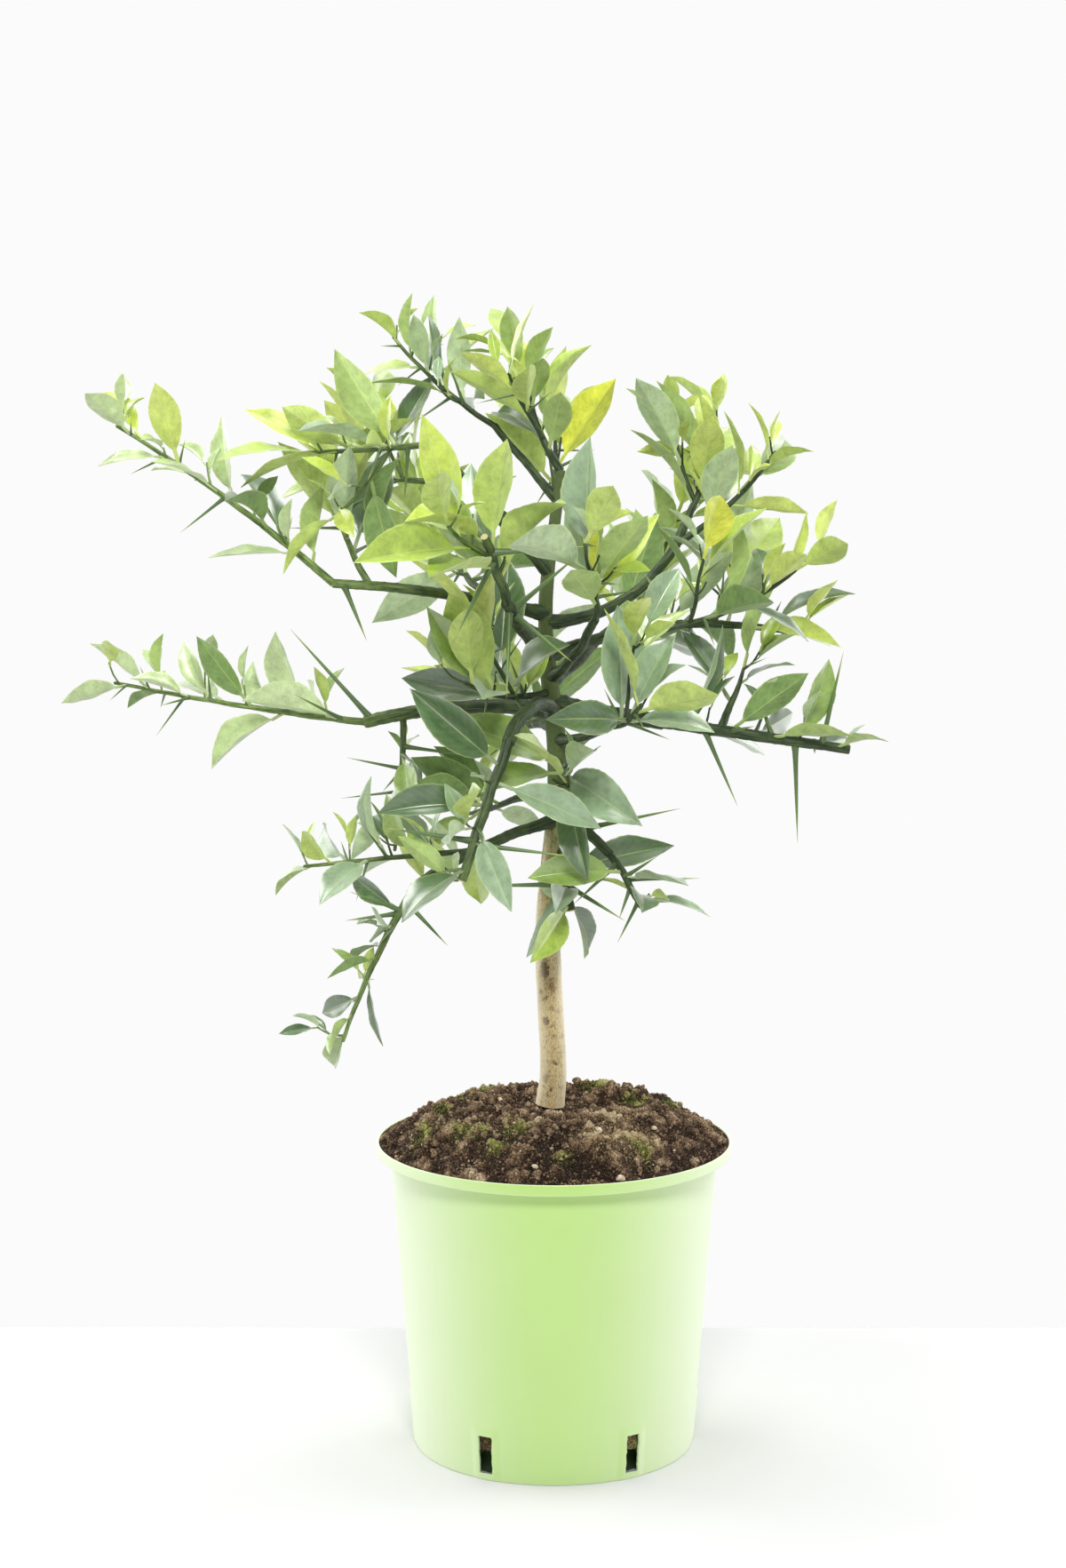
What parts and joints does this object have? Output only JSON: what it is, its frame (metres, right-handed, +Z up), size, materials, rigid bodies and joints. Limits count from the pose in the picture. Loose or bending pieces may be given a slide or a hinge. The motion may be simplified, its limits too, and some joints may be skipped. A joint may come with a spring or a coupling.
{
  "type": "potted yuzu tree",
  "caption": "Young thorny citrus tree with an open leafy crown on a slim trunk, standing in a round tapered plastic nursery pot filled with heaped soil.",
  "frame": {"origin": "centre of the flat underside of the pot, on the surface the pot stands on", "axes": "+Z up the trunk; -Y towards the viewer of the pictured side; +X to that viewer's right"},
  "size_m": [0.5106, 0.3782, 0.7116],
  "materials": {
    "green_plastic": "light green moulded polypropylene with a soft sheen",
    "potting_soil": "dark brown crumbly compost",
    "pale_bark": "pale beige young bark, green higher up",
    "green_bark": "smooth green citrus bark",
    "foliage": "glossy green leaves on green twigs with thorns"
  },
  "bodies": {
    "root": {"pot": "green_plastic", "soil": "potting_soil", "trunk": "pale_bark", "bough_right_low": "green_bark", "bough_right_mid": "green_bark", "bough_right_high": "green_bark", "bough_left_low": "green_bark", "bough_left_mid": "green_bark", "bough_left_high": "green_bark", "bough_upper_left": "green_bark", "bough_top_left": "green_bark", "bough_front_low": "green_bark", "bough_front_high": "green_bark", "bough_front_right": "green_bark", "bough_front_right_low": "green_bark", "bough_low_left": "green_bark", "bough_low_right": "green_bark", "bough_back_low": "green_bark", "bough_back_right": "green_bark", "bough_back_left": "green_bark", "bough_back_high": "green_bark", "bough_low_back": "green_bark", "leaves_right_low": "foliage", "leaves_right_mid": "foliage", "leaves_right_fork": "foliage", "leaves_right_high": "foliage", "leaves_top_right": "foliage", "leaves_left_low": "foliage", "leaves_left_hang": "foliage", "leaves_left_far": "foliage", "leaves_left_mid": "foliage", "leaves_left_high": "foliage", "leaves_upper_left": "foliage", "leaves_top_left": "foliage", "leaves_top": "foliage", "leaves_front_low": "foliage", "leaves_front_high": "foliage", "leaves_front_mid": "foliage", "leaves_front_right": "foliage", "leaves_front_right_low": "foliage", "leaves_low_left": "foliage", "leaves_low_left_out": "foliage", "leaves_low_right": "foliage", "leaves_low_front": "foliage", "leaves_front_centre": "foliage", "leaves_back_low": "foliage", "leaves_back_right": "foliage", "leaves_back_left": "foliage", "leaves_back_high": "foliage", "leaves_low_back": "foliage"}
  },
  "joints": []
}
